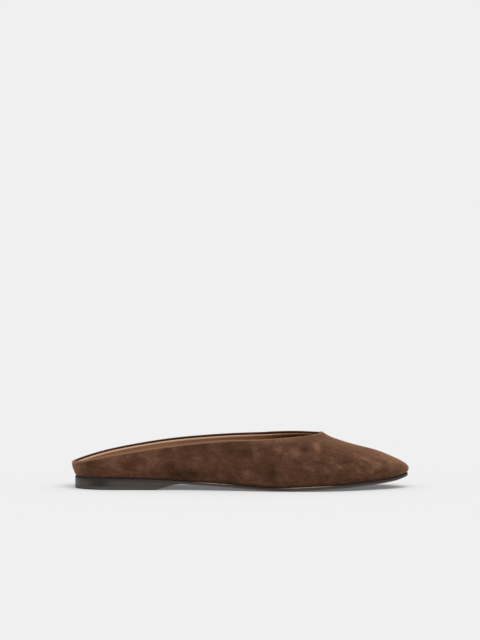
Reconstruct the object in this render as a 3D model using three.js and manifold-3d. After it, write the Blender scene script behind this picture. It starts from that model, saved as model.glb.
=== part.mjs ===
// A flat slip-on mule for the right foot: one hollow suede upper on a thin full-length sole with a low heel.
// Millimetres. +X runs from heel to toe, +Y to the medial (big toe) side, +Z up from the floor.
// The shape is that of the last: its bottom outline, its profile and its cross sections, row by row.
import * as THREE from 'three';
import { mergeVertices } from 'three/addons/utils/BufferGeometryUtils.js';
import Module from 'manifold-3d';

const wasm = await Module();
wasm.setup();

// Driving dimensions of the last and the upper
const LENGTH = 260; // over the upper, back of the heel to the tip of the toe
const BALL_WIDTH = 84; // bottom outline across the ball
const HEEL_ROUND = 30; // length over which the outline closes round the heel
const TOE_ROUND = 78; // length over which the outline closes to the almond toe
const BACK_TUCK = 3.2; // the bottom outline starts this far inside the back of the heel
const TOE_TUCK = 1.4; // and ends this far inside the tip of the toe
const SWELL = 3; // how far the wall bellies out over the bottom outline
const BELLY_HEIGHT = 11.5; // widest line of the wall above the feather line
const CROWN_HEIGHT = 50; // top of the last above its widest line, at the back of the instep
const RIDGE_SHIFT = 5; // the vamp's ridge lies this far to the medial side
const BACK_HEIGHT = 10.5; // topline above the feather line at the back of the heel
const THROAT_HEIGHT = 36; // topline above the feather line at the throat
const LIP_HEIGHT = 2.8; // the throat's edge turns up by this much
const LIP_HALF_WIDTH = 16; // across the foot
const LIP_LENGTH = 12; // down the vamp
const WALL = 1.6; // suede and lining together
const LASTING_MARGIN = 7; // the upper's edge turned in under the insole

// Driving dimensions of the sole, heel and insole
const HEEL_HEIGHT = 6.7; // underside of the sole above the floor at the heel
const TOE_SPRING = 9.4; // and at the tip of the toe
const EDGE_LIFT = 0.35; // and at its edge beside the ball
const BOTTOM_ROLL = 1.4; // the underside's middle bulges this far below its edge
const SOLE_THICKNESS = 2.8; // at the edge beside the ball
const SOLE_LEDGE = 0.6; // the sole stands out from the upper by this much
const SOLE_BEVEL = 0.5; // lower corner of the sole's edge
const LIFT_THICKNESS = 2.4; // top piece of the heel
const BREAST = 64.5; // front of the heel on the floor, from the back of the shoe
const BREAST_SWEEP = 19.5; // the heel's front runs this much further forward under the sole
const BREAST_TIP = 0.4; // thickness left at the end of the sweep
const INSOLE_THICKNESS = 2.5; // board and sock over the lasting margin
const CLEARANCE = 0.3; // between two pieces that meet

// Rows of the last. `at` is the share of LENGTH from the heel.
// Half widths of the bottom outline on each side, as shares of BALL_WIDTH, before its ends are rounded.
const OUTLINE = [
  { at: 0.00, lateral: 0.315, medial: 0.315 },
  { at: 0.12, lateral: 0.324, medial: 0.319 },
  { at: 0.25, lateral: 0.333, medial: 0.290 },
  { at: 0.38, lateral: 0.369, medial: 0.262 },
  { at: 0.50, lateral: 0.440, medial: 0.300 },
  { at: 0.60, lateral: 0.500, medial: 0.383 },
  { at: 0.67, lateral: 0.519, medial: 0.445 },
  { at: 0.74, lateral: 0.517, medial: 0.479 },
  { at: 0.80, lateral: 0.502, medial: 0.483 },
  { at: 0.87, lateral: 0.460, medial: 0.455 },
  { at: 0.94, lateral: 0.400, medial: 0.398 },
  { at: 1.00, lateral: 0.345, medial: 0.345 },
];

// How far the wall bellies out on each side, as shares of SWELL.
const BELLY = [
  { at: 0.00, lateral: 1.00, medial: 1.00 },
  { at: 0.12, lateral: 1.00, medial: 1.07 },
  { at: 0.38, lateral: 1.20, medial: 2.07 },
  { at: 0.55, lateral: 1.00, medial: 1.67 },
  { at: 0.70, lateral: 0.87, medial: 0.93 },
  { at: 0.85, lateral: 0.60, medial: 0.67 },
  { at: 1.00, lateral: 0.40, medial: 0.40 },
];

// Widest line as a share of BELLY_HEIGHT, top of the last as a share of CROWN_HEIGHT, ridge of RIDGE_SHIFT.
const SECTION = [
  { at: 0.00, belly: 0.80, crown: 1.000, ridge: 0.0 },
  { at: 0.15, belly: 0.96, crown: 1.000, ridge: 0.3 },
  { at: 0.30, belly: 1.00, crown: 1.000, ridge: 0.6 },
  { at: 0.45, belly: 1.03, crown: 0.895, ridge: 0.8 },
  { at: 0.60, belly: 1.01, crown: 0.696, ridge: 1.0 },
  { at: 0.68, belly: 0.95, crown: 0.584, ridge: 1.0 },
  { at: 0.735, belly: 0.89, crown: 0.532, ridge: 1.0 },
  { at: 0.80, belly: 0.81, crown: 0.449, ridge: 0.9 },
  { at: 0.85, belly: 0.73, crown: 0.404, ridge: 0.7 },
  { at: 0.90, belly: 0.61, crown: 0.390, ridge: 0.5 },
  { at: 0.95, belly: 0.43, crown: 0.366, ridge: 0.25 },
  { at: 1.00, belly: 0.20, crown: 0.335, ridge: 0.0 },
];

// Topline on each side, as the share of the way from BACK_HEIGHT to THROAT_HEIGHT.
const TOPLINE = [
  { at: 0.00, lateral: 0.008, medial: 0.008 },
  { at: 0.07, lateral: 0.190, medial: 0.205 },
  { at: 0.15, lateral: 0.362, medial: 0.404 },
  { at: 0.25, lateral: 0.548, medial: 0.610 },
  { at: 0.35, lateral: 0.739, medial: 0.796 },
  { at: 0.45, lateral: 0.892, medial: 0.931 },
  { at: 0.55, lateral: 0.997, medial: 1.053 },
  { at: 0.62, lateral: 1.042, medial: 1.105 },
  { at: 0.68, lateral: 1.023, medial: 1.089 },
  { at: 0.735, lateral: 0.998, medial: 1.022 },
];

// Lower edge of the sole: the way up from EDGE_LIFT to HEEL_HEIGHT and to TOE_SPRING,
// the edge's thickness as a share of SOLE_THICKNESS, the bulge of the underside as one of BOTTOM_ROLL.
const SOLE = [
  { at: 0.000, heel: 1.000, toe: 0.000, thick: 0.86, roll: 0.00 },
  { at: 0.100, heel: 0.967, toe: 0.000, thick: 0.86, roll: 0.00 },
  { at: 0.200, heel: 0.900, toe: 0.000, thick: 0.86, roll: 0.00 },
  { at: 0.280, heel: 0.800, toe: 0.000, thick: 0.86, roll: 0.00 },
  { at: 0.360, heel: 0.617, toe: 0.000, thick: 0.82, roll: 0.00 },
  { at: 0.440, heel: 0.450, toe: 0.000, thick: 0.80, roll: 0.35 },
  { at: 0.520, heel: 0.217, toe: 0.000, thick: 0.78, roll: 0.80 },
  { at: 0.580, heel: 0.050, toe: 0.000, thick: 0.78, roll: 1.00 },
  { at: 0.640, heel: 0.000, toe: 0.000, thick: 0.92, roll: 1.00 },
  { at: 0.700, heel: 0.000, toe: 0.055, thick: 1.00, roll: 1.00 },
  { at: 0.780, heel: 0.000, toe: 0.176, thick: 0.94, roll: 0.90 },
  { at: 0.860, heel: 0.000, toe: 0.341, thick: 0.90, roll: 0.70 },
  { at: 0.920, heel: 0.000, toe: 0.505, thick: 0.90, roll: 0.40 },
  { at: 0.965, heel: 0.000, toe: 0.703, thick: 0.90, roll: 0.20 },
  { at: 1.000, heel: 0.000, toe: 1.000, thick: 0.86, roll: 0.00 },
];

// Fineness of the faceted surfaces
const STATIONS = 40; // along each side
const LEVELS = 12; // up the wall
const BANDS = 6; // from the edge of the sole or insole to its middle
const RIB_SAMPLES = 72; // along one rib before its levels are set
const HALVINGS = 26; // of a range, in each search
const BREAST_STEPS = 10; // along the heel's front, and along its roof
const CROWDING = 1.45; // over 1 packs the levels and bands towards the feather line

// Shape of the sections and ends
const SHOULDER = 2.25; // above 2 squares the section's shoulders
const HEEL_CLOSING = 2.1; // above 2 squares the heel
const WALL_FLARE = 1.5; // how early the wall reaches its belly
const BREAST_HOLLOW = 1.4; // above 1 hollows the heel's front
const TOE_FAN = 0.577; // share of LENGTH where the ribs start to fan out to the toe
const THROAT = TOPLINE[TOPLINE.length - 1].at;
const TOPLINE_BLEND = 30; // half of the width over which one side's topline passes into the other's
const MAX_RIB_ANGLE = THREE.MathUtils.degToRad(88);

const { clamp, lerp } = THREE.MathUtils;

// Natural cubic spline through the values, held level past both ends.
function smooth(at, value) {
  const last = at.length - 1;
  const bend = new Array(last + 1).fill(0);
  const carry = new Array(last + 1).fill(0);
  for (let i = 1; i < last; i += 1) {
    const before = at[i] - at[i - 1];
    const after = at[i + 1] - at[i];
    const turn = (value[i + 1] - value[i]) / after - (value[i] - value[i - 1]) / before;
    const pivot = 2 * (before + after) - before * carry[i - 1];
    carry[i] = after / pivot;
    bend[i] = (6 * turn - before * bend[i - 1]) / pivot;
  }
  for (let i = last - 1; i > 0; i -= 1) {
    bend[i] -= carry[i] * bend[i + 1];
  }
  return (where) => {
    const x = clamp(where, at[0], at[last]);
    let i = 0;
    while (i < last - 1 && x > at[i + 1]) {
      i += 1;
    }
    const width = at[i + 1] - at[i];
    const a = (at[i + 1] - x) / width;
    const b = 1 - a;
    const sag = (a ** 3 - a) * bend[i] + (b ** 3 - b) * bend[i + 1];
    return a * value[i] + b * value[i + 1] + sag * width ** 2 / 6;
  };
}

const column = (table, name, size) => smooth(table.map((row) => row.at), table.map((row) => row[name] * size));

// Lines along the length, each a function of the share of LENGTH
const half = {
  lateral: column(OUTLINE, 'lateral', BALL_WIDTH),
  medial: column(OUTLINE, 'medial', BALL_WIDTH),
};
const swell = {
  lateral: column(BELLY, 'lateral', SWELL),
  medial: column(BELLY, 'medial', SWELL),
};
const rise = {
  lateral: column(TOPLINE, 'lateral', THROAT_HEIGHT - BACK_HEIGHT),
  medial: column(TOPLINE, 'medial', THROAT_HEIGHT - BACK_HEIGHT),
};
const bellyRise = column(SECTION, 'belly', BELLY_HEIGHT);
const crownRise = column(SECTION, 'crown', CROWN_HEIGHT);
const ridge = column(SECTION, 'ridge', RIDGE_SHIFT);
const edgeThickness = column(SOLE, 'thick', SOLE_THICKNESS);
const roll = column(SOLE, 'roll', BOTTOM_ROLL);
const edgeBottom = smooth(
  SOLE.map((row) => row.at),
  SOLE.map((row) => EDGE_LIFT + (HEEL_HEIGHT - EDGE_LIFT) * row.heel + (TOE_SPRING - EDGE_LIFT) * row.toe),
);

const soleTop = (at) => edgeBottom(at) + edgeThickness(at);
const feather = (at) => soleTop(at) + CLEARANCE;
const belly = (at) => feather(at) + bellyRise(at);
const toeShare = (at) => clamp((at - 1) * LENGTH / TOE_ROUND + 1, 0, 1);
const heelShare = (at) => clamp(1 - at * LENGTH / HEEL_ROUND, 0, 1);
const toeClosing = (at) => Math.sqrt(1 - toeShare(at) ** 2);
const heelClosing = (at) => (1 - heelShare(at) ** HEEL_CLOSING) ** (1 / HEEL_CLOSING);
const crown = (at) => crownRise(at) * toeClosing(at);

// Half width of the last on one side, from the bottom outline (bulge 0) to its widest line (bulge 1).
function halfWidth(at, side, bulge) {
  return (half[side](at) + bulge * swell[side](at)) * heelClosing(at) * toeClosing(at);
}

// Whether a point lies inside the upper's outer surface: below the widest line the wall flares out
// from the bottom outline, above it the section is a superellipse with its top on the ridge.
function isInside(x, y, z) {
  if (x <= 0 || x >= LENGTH) {
    return false;
  }
  const at = x / LENGTH;
  const widest = belly(at);
  if (z >= widest) {
    const top = ridge(at);
    const side = y < top ? 'lateral' : 'medial';
    const reach = halfWidth(at, side, 1) + (side === 'lateral' ? top : -top);
    return (Math.abs(y - top) / reach) ** SHOULDER + ((z - widest) / crown(at)) ** 2 < 1;
  }
  const low = feather(at);
  const bulge = 1 - (1 - clamp((z - low) / (widest - low), 0, 1)) ** WALL_FLARE;
  const back = BACK_TUCK * (1 - bulge);
  const tip = LENGTH - TOE_TUCK * (1 - bulge);
  const along = (x - back) / (tip - back);
  if (along <= 0 || along >= 1) {
    return false;
  }
  return Math.abs(y) < halfWidth(along, y < 0 ? 'lateral' : 'medial', bulge);
}

// Largest value of a range for which the test still holds.
function search(low, high, holds) {
  let inner = low;
  let outer = high;
  for (let i = 0; i < HALVINGS; i += 1) {
    const middle = (inner + outer) / 2;
    if (holds(middle)) {
      inner = middle;
    } else {
      outer = middle;
    }
  }
  return inner;
}

// Height of the cut that makes the topline.
function topline(x, y) {
  const at = clamp(x / LENGTH, 0, THROAT);
  const toMedial = clamp(y / TOPLINE_BLEND, -1, 1) / 2 + 0.5;
  return feather(at) + BACK_HEIGHT + lerp(rise.lateral(at), rise.medial(at), toMedial);
}

// Ribs stand on the bottom outline, from the heel along the lateral side to the toe and back along the
// medial side. Each starts from a point of the spine: they fan out at both ends and run straight across between.
function makeRibs() {
  const stations = Array.from({ length: STATIONS + 1 }, (_, i) => (1 - Math.cos(Math.PI * i / STATIONS)) / 2);
  const place = (side, sign) => (at) => ({
    x: BACK_TUCK + (LENGTH - BACK_TUCK - TOE_TUCK) * at,
    y: sign * halfWidth(at, side, 0),
  });
  const feet = [
    ...stations.map(place('lateral', -1)),
    ...stations.slice(1, -1).reverse().map(place('medial', 1)),
  ];
  return feet.map((foot, i) => {
    const next = feet[(i + 1) % feet.length];
    const previous = feet[(i + feet.length - 1) % feet.length];
    const along = new THREE.Vector2(next.x - previous.x, next.y - previous.y).normalize();
    return {
      foot: new THREE.Vector2(foot.x, foot.y),
      out: new THREE.Vector2(along.y, -along.x),
      spine: new THREE.Vector2(clamp(foot.x, HEEL_ROUND, TOE_FAN * LENGTH), 0),
    };
  });
}

const ribs = makeRibs();

// The point of the outer surface that a rib reaches at an angle above the level through its spine point.
function reachAt(rib, angle) {
  const flat = rib.foot.clone().sub(rib.spine).normalize();
  const start = new THREE.Vector3(rib.spine.x, rib.spine.y, belly(rib.spine.x / LENGTH));
  const aim = new THREE.Vector3(flat.x * Math.cos(angle), flat.y * Math.cos(angle), Math.sin(angle));
  const point = (far) => start.clone().addScaledVector(aim, far);
  return point(search(0, LENGTH, (far) => {
    const { x, y, z } = point(far);
    return isInside(x, y, z);
  }));
}

// Outer surface along one rib: LEVELS steps from the feather line up to the topline, with the lip at the throat.
function outerRib(rib) {
  const bottom = feather(rib.foot.x / LENGTH);
  const drop = bottom - belly(rib.spine.x / LENGTH);
  const first = Math.atan2(drop, rib.foot.distanceTo(rib.spine));
  const last = search(first, MAX_RIB_ANGLE, (angle) => {
    const { x, y, z } = reachAt(rib, angle);
    return z < topline(x, y);
  });
  const points = [new THREE.Vector3(rib.foot.x, rib.foot.y, bottom)];
  const walked = [0];
  for (let i = 1; i <= RIB_SAMPLES; i += 1) {
    points.push(reachAt(rib, lerp(first, last, i / RIB_SAMPLES)));
    walked.push(walked[i - 1] + points[i].distanceTo(points[i - 1]));
  }
  const whole = walked[RIB_SAMPLES];
  return Array.from({ length: LEVELS + 1 }, (_, level) => {
    const wanted = whole * (level / LEVELS) ** CROWDING;
    const next = Math.max(1, walked.findIndex((length, i) => length >= wanted || i === RIB_SAMPLES));
    const share = (wanted - walked[next - 1]) / (walked[next] - walked[next - 1]);
    const point = points[next - 1].clone().lerp(points[next], share);
    if (rib.foot.x > rib.spine.x) {
      const across = Math.exp(-((point.y / LIP_HALF_WIDTH) ** 2));
      point.z += LIP_HEIGHT * across * clamp(1 - (whole - wanted) / LIP_LENGTH, 0, 1) ** 2;
    }
    return point;
  });
}

// Unit normals of a grid of ribs, pointing out of the shoe.
function outwardNormals(grid) {
  return grid.map((rib, i) => rib.map((point, level) => {
    const ahead = grid[(i + 1) % grid.length][level];
    const behind = grid[(i + grid.length - 1) % grid.length][level];
    const above = rib[Math.min(level + 1, LEVELS)];
    const below = rib[Math.max(level - 1, 0)];
    return ahead.clone().sub(behind).cross(above.clone().sub(below)).normalize();
  }));
}

const outerWall = ribs.map(outerRib);
const wallNormals = outwardNormals(outerWall);

// Inner surface, one wall in. Its lowest point is the corner over the lasting margin, one wall from both faces.
const innerWall = outerWall.map((rib, i) => rib.map((point, level) => {
  const normal = wallNormals[i][level];
  if (level > 0) {
    return point.clone().addScaledVector(normal, -WALL);
  }
  const inward = WALL * (1 + normal.z) / Math.hypot(normal.x, normal.y);
  const { out } = ribs[i];
  return new THREE.Vector3(point.x - out.x * inward, point.y - out.y * inward, point.z + WALL);
}));

// A ring holds one point for each rib. These make rings that follow the bottom outline.
const outlineRing = (offset, height) => ribs.map(({ foot, out }) => {
  const place = foot.clone().addScaledVector(out, offset);
  return new THREE.Vector3(place.x, place.y, height(place.x, place.y));
});
const spineRing = (height) => ribs.map(({ spine }) => new THREE.Vector3(spine.x, spine.y, height(spine.x, spine.y)));

// Rings that carry a surface from its edge in to the spine.
function bandsToSpine(edge, height) {
  const spine = spineRing(height);
  const bands = [];
  for (let band = 1; band < BANDS; band += 1) {
    bands.push(edge.map((point, i) => {
      const place = point.clone().lerp(spine[i], (band / BANDS) ** CROWDING);
      place.z = height(place.x, place.y);
      return place;
    }));
  }
  return [...bands, spine];
}

// A closed solid through rings of points. Looking along the rings' travel, they follow each other clockwise.
// A solid that goes round a hole joins its last ring to its first, any other starts and ends on the spine.
function ringSolid(rings, goesRoundHole) {
  const positions = rings.flatMap((ring) => ring.flatMap((point) => point.toArray()));
  const index = [];
  const count = rings[0].length;
  const corner = (ring, i) => (ring % rings.length) * count + (i % count);
  const pointAt = (vertex) => rings[Math.floor(vertex / count)][vertex % count];
  const addFace = (...face) => {
    const [a, b, c] = face.map(pointAt);
    if (!a.equals(b) && !b.equals(c) && !c.equals(a)) {
      index.push(...face);
    }
  };
  for (let ring = 0; ring < rings.length - (goesRoundHole ? 0 : 1); ring += 1) {
    for (let i = 0; i < count; i += 1) {
      addFace(corner(ring, i), corner(ring + 1, i), corner(ring + 1, i + 1));
      addFace(corner(ring, i), corner(ring + 1, i + 1), corner(ring, i + 1));
    }
  }
  const geometry = new THREE.BufferGeometry();
  geometry.setAttribute('position', new THREE.Float32BufferAttribute(positions, 3));
  geometry.setIndex(index);
  const solid = mergeVertices(geometry);
  solid.computeVertexNormals();
  return solid;
}

// Upper: down the outer wall, in along the margin's underside, back along its top, up the inner wall.
function makeUpper() {
  const level = (wall, number) => wall.map((rib) => rib[number]);
  const numbers = Array.from({ length: LEVELS + 1 }, (_, number) => number);
  const underside = (x) => feather(x / LENGTH);
  return ringSolid([
    ...numbers.toReversed().map((number) => level(outerWall, number)),
    outlineRing(-LASTING_MARGIN, underside),
    outlineRing(-LASTING_MARGIN, (x) => underside(x) + WALL),
    ...numbers.map((number) => level(innerWall, number)),
  ], true);
}

// Underside of the sole: level across at the heel and waist, bulging at the ball, flat where it meets the floor.
function soleBottom(x, y) {
  const at = x / LENGTH;
  const across = Math.min(1, Math.abs(y) / (halfWidth(at, y < 0 ? 'lateral' : 'medial', 0) + SOLE_LEDGE));
  return Math.max(0, edgeBottom(at) - roll(at) * (1 - across ** 2));
}

// Outsole: one thin piece from heel to toe, its edge proud of the upper all round.
function makeOutsole() {
  const top = (x) => soleTop(x / LENGTH);
  const underMargin = outlineRing(-LASTING_MARGIN, top);
  const bevelTop = outlineRing(SOLE_LEDGE, (x, y) => soleBottom(x, y) + SOLE_BEVEL);
  const bottomEdge = outlineRing(SOLE_LEDGE - SOLE_BEVEL, soleBottom);
  return ringSolid([
    ...bandsToSpine(underMargin, top).toReversed(),
    underMargin,
    outlineRing(SOLE_LEDGE, top),
    bevelTop,
    bottomEdge,
    ...bandsToSpine(bottomEdge, soleBottom),
  ], false);
}

// The point of a rib's inner wall at a height, moved in by the clearance.
function besideWall(i, height) {
  const rib = innerWall[i];
  const next = Math.max(1, rib.findIndex((point) => point.z >= height));
  const share = (height - rib[next - 1].z) / (rib[next].z - rib[next - 1].z);
  const { out } = ribs[i];
  const point = rib[next - 1].clone().lerp(rib[next], share);
  point.x -= out.x * CLEARANCE;
  point.y -= out.y * CLEARANCE;
  return point;
}

// Insole: its edge follows the inner wall and lies on the lasting margin, its middle fills the space inside it.
function makeInsole() {
  const low = (x) => feather(x / LENGTH);
  const overMargin = (x) => low(x) + WALL + CLEARANCE;
  const top = (x) => overMargin(x) + INSOLE_THICKNESS;
  const topEdge = ribs.map(({ foot }, i) => besideWall(i, top(foot.x)));
  const lowEdge = ribs.map(({ foot }, i) => besideWall(i, overMargin(foot.x)));
  const insideMargin = -(LASTING_MARGIN + CLEARANCE);
  const step = outlineRing(insideMargin, low);
  return ringSolid([
    ...bandsToSpine(topEdge, top).toReversed(),
    topEdge,
    lowEdge,
    outlineRing(insideMargin, overMargin),
    step,
    ...bandsToSpine(step, low),
  ], false);
}

function toManifold(geometry) {
  const bare = new THREE.BufferGeometry();
  bare.setAttribute('position', geometry.getAttribute('position'));
  bare.setIndex(geometry.getIndex());
  const merged = mergeVertices(bare);
  return new wasm.Manifold(new wasm.Mesh({
    numProp: 3,
    vertProperties: new Float32Array(merged.getAttribute('position').array),
    triVerts: new Uint32Array(merged.getIndex().array),
  }));
}

function fromManifold(solid) {
  const mesh = solid.getMesh();
  const geometry = new THREE.BufferGeometry();
  geometry.setAttribute('position', new THREE.Float32BufferAttribute(mesh.vertProperties, 3));
  geometry.setIndex(Array.from(mesh.triVerts));
  geometry.computeVertexNormals();
  return geometry;
}

// Heel: the sole's outline carried down, with a front that sweeps forward under the waist in a hollow curve.
function makeHeel() {
  const reach = BREAST + BREAST_SWEEP;
  const ceiling = (x) => edgeBottom(x / LENGTH) - CLEARANCE;
  const plan = outlineRing(SOLE_LEDGE, () => 0)
    .filter(({ x }) => x < reach + HEEL_ROUND)
    .map(({ x, y }) => new THREE.Vector2(x, y));
  const post = new THREE.ExtrudeGeometry(new THREE.Shape(plan), { depth: HEEL_HEIGHT, bevelEnabled: false });

  const shares = Array.from({ length: BREAST_STEPS + 1 }, (_, i) => i / BREAST_STEPS);
  const sweep = shares.map((share) => new THREE.Vector2(
    BREAST + BREAST_SWEEP * share,
    (ceiling(reach) - BREAST_TIP) * (1 - (1 - share) ** BREAST_HOLLOW),
  ));
  const roof = shares.map((share) => new THREE.Vector2(reach * (1 - share), ceiling(reach * (1 - share))));
  const profile = new THREE.Shape([new THREE.Vector2(0, 0), ...sweep, ...roof]);
  const side = new THREE.ExtrudeGeometry(profile, { depth: BALL_WIDTH, bevelEnabled: false });
  side.rotateX(Math.PI / 2);
  side.translate(0, BALL_WIDTH / 2, 0);

  const slab = (bottom, height) => {
    const box = new THREE.BoxGeometry(2 * reach, BALL_WIDTH, height);
    box.translate(reach, 0, bottom + height / 2);
    return toManifold(box);
  };
  const stack = toManifold(post).intersect(toManifold(side));
  return {
    base: fromManifold(stack.intersect(slab(LIFT_THICKNESS + CLEARANCE, HEEL_HEIGHT))),
    lift: fromManifold(stack.intersect(slab(0, LIFT_THICKNESS))),
  };
}

function piece(name, geometry, color, roughness) {
  const mesh = new THREE.Mesh(geometry, new THREE.MeshStandardMaterial({ color, roughness, metalness: 0 }));
  mesh.name = name;
  return mesh;
}

const heel = makeHeel();
const shoe = new THREE.Group();
shoe.add(
  piece('upper', makeUpper(), 0x463125, 0.95),
  piece('insole', makeInsole(), 0x8f6244, 0.6),
  piece('outsole', makeOutsole(), 0x3d322c, 0.5),
  piece('heel_base', heel.base, 0x362d29, 0.5),
  piece('heel_lift', heel.lift, 0x33302e, 0.7),
);

// The origin is on the floor, under the middle of the shoe.
const bounds = new THREE.Box3().setFromObject(shoe);
const middle = bounds.getCenter(new THREE.Vector3());
shoe.position.set(-middle.x, -middle.y, -bounds.min.z);

export default shoe;
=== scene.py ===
import math

import bmesh
import bpy
import numpy as np
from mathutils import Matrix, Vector


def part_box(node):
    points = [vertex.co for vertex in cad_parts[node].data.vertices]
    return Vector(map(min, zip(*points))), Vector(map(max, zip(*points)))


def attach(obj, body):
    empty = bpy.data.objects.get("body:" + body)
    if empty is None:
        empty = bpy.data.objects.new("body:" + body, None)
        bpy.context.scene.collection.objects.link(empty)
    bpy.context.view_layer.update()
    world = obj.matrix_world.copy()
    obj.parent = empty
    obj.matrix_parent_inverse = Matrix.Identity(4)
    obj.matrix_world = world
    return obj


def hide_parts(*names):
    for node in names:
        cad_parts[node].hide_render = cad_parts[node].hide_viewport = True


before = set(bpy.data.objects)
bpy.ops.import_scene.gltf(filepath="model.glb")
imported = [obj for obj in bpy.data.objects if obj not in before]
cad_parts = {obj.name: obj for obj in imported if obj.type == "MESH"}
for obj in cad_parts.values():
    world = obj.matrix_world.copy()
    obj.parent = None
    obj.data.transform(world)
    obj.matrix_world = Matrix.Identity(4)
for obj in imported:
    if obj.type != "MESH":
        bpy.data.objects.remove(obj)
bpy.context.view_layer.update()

# Studio. A pale floor with no visible horizon, one broad soft light from above on the camera's side, and
# even light from all round. The camera stands well back on the shoe's outer side, a little above it, and looks
# over the shoe at mid frame.
MM = 0.001
PHOTO_SIZE = (480, 640)
PIXEL = 0.770 * MM
VIEW_ELEVATION = math.radians(4.6)
CAMERA_FAR = 4.0
SEEN_HEIGHT = 0.015
SENSOR = 36.0
aim = Vector((-0.1 * MM, 0.0, 129.2 * MM))

camera_data = bpy.data.cameras.new("camera")
camera = bpy.data.objects.new("camera", camera_data)
bpy.context.scene.collection.objects.link(camera)
camera.location = (aim.x, -CAMERA_FAR, SEEN_HEIGHT + CAMERA_FAR * math.tan(VIEW_ELEVATION))
camera.rotation_euler = (aim - camera.location).to_track_quat("-Z", "Y").to_euler()
camera_data.sensor_width = SENSOR
camera_data.lens = SENSOR * (aim - camera.location).length / (PHOTO_SIZE[1] * PIXEL)
camera_data.clip_end = 1000.0
bpy.context.scene.camera = camera
bpy.context.scene.view_settings.view_transform = "Standard"


class Tone:
    """A number or colour inside a finish. Sums on it add Math nodes, and its methods add the other nodes."""

    def __init__(self, tree, socket):
        self.tree = tree
        self.socket = socket

    def node(self, kind, settings, inputs, output=0):
        """Adds a node: its settings, then a value or a link for each of its numbered or named inputs."""
        made = self.tree.nodes.new(kind)
        for name, setting in settings.items():
            if name == "stops":
                ramp = made.color_ramp
                while len(ramp.elements) < len(setting):
                    ramp.elements.new(0.5)
                for element, (place, colour) in zip(ramp.elements, setting):
                    element.position = place
                    element.color = colour
            else:
                setattr(made, name, setting)
        for name, item in inputs.items():
            if isinstance(item, Tone):
                self.tree.links.new(item.socket, made.inputs[name])
            else:
                made.inputs[name].default_value = item
        return Tone(self.tree, made.outputs[output])

    def maths(self, operation, *items):
        return self.node("ShaderNodeMath", {"operation": operation}, dict(enumerate(items)))

    def __add__(self, other):
        return self.maths("ADD", self, other)

    def __radd__(self, other):
        return self.maths("ADD", other, self)

    def __sub__(self, other):
        return self.maths("SUBTRACT", self, other)

    def __mul__(self, other):
        return self.maths("MULTIPLY", self, other)

    def __truediv__(self, other):
        return self.maths("DIVIDE", self, other)

    def __pow__(self, other):
        return self.maths("POWER", self, other)

    def clamped(self):
        return self.node("ShaderNodeClamp", {}, {0: self})

    def bell(self, width):
        """exp(-(value / width) ** 2): 1 where the value is 0, falling away on both sides."""
        return self.maths("POWER", math.e, (self / width) ** 2 * -1)

    def noise(self, size, detail=2.0, roughness=0.5, distortion=0.0):
        """Noise of that grain size, read at this place. Its value lies round 0.5."""
        inputs = {"Vector": self, "Scale": 1.0 / size, "Detail": detail, "Roughness": roughness}
        return self.node("ShaderNodeTexNoise", {}, {**inputs, "Distortion": distortion})

    def stretched(self, x, y, z):
        """This place with its three coordinates scaled apart."""
        return self.node("ShaderNodeVectorMath", {"operation": "MULTIPLY"}, {0: self, 1: (x, y, z)})

    def blend(self, first, second):
        """The first colour where this number is 0, the second where it is 1."""
        return self.node("ShaderNodeMix", {"data_type": "RGBA"}, {0: self, 6: first, 7: second}, 2)

    def ramp(self, *stops):
        """The colour that this number has along the stops: a place from 0 to 1 and a colour for each."""
        return self.node("ShaderNodeValToRGB", {"stops": stops}, {0: self})

    def mark(self, name):
        """The number that the piece itself carries under that name."""
        return self.node("ShaderNodeAttribute", {"attribute_name": name}, {}, "Fac")

    def cells(self, scale):
        """Distance to the nearest edge between cells, for pores."""
        settings = {"feature": "DISTANCE_TO_EDGE"}
        return self.node("ShaderNodeTexVoronoi", settings, {"Vector": self, "Scale": scale})

    def coordinate(self, axis):
        return self.node("ShaderNodeSeparateXYZ", {}, {0: self}, axis)


def srgb(red, green, blue):
    """A colour given in 0 to 255 screen steps, as linear light with full alpha."""
    steps = np.array([red, green, blue]) / 255.0
    linear = np.where(steps <= 0.04045, steps / 12.92, ((steps + 0.055) / 1.055) ** 2.4)
    return (*linear.tolist(), 1.0)


def finish(name, **fixed):
    """A new material with its fixed shader values set, and the object's own coordinates in mm as a Tone."""
    material = bpy.data.materials.new(name)
    material.use_nodes = True
    tree = material.node_tree
    shader = tree.nodes["Principled BSDF"]
    for socket, value in fixed.items():
        shader.inputs[socket.replace("_", " ")].default_value = value
    coordinates = tree.nodes.new("ShaderNodeTexCoord")
    return material, Tone(tree, coordinates.outputs["Object"]).stretched(1 / MM, 1 / MM, 1 / MM)


def dress(material, **varying):
    """Links the tones that change over the surface into the material's shader. Bump is a height from 0 to 1,
    and what it stands for in metres."""
    tree = material.node_tree
    shader = tree.nodes["Principled BSDF"]
    if "Bump" in varying:
        height, distance = varying.pop("Bump")
        inputs = {"Height": height, "Distance": distance, "Strength": 1.0}
        varying["Normal"] = height.node("ShaderNodeBump", {}, inputs)
    for socket, tone in varying.items():
        tree.links.new(tone.socket, shader.inputs[socket.replace("_", " ")])


FLOOR_HALF = 150.0
FLOOR_GAP = 0.05 * MM
FLOOR_ALBEDO = 0.70
# The floor glows a little of its own, which is painted light: it lifts the shadows under and around the shoe.
FLOOR_GLOW = 0.14
BACKDROP = 0.871
AMBIENT = 0.52
OVERHEAD_SPREAD = math.radians(60)
OVERHEAD_TILT = (math.radians(30), math.radians(10))
OVERHEAD_FALL = math.cos(OVERHEAD_TILT[0]) * math.cos(OVERHEAD_TILT[1])
OVERHEAD = math.pi * ((BACKDROP - FLOOR_GLOW) / FLOOR_ALBEDO - AMBIENT) / OVERHEAD_FALL

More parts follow.
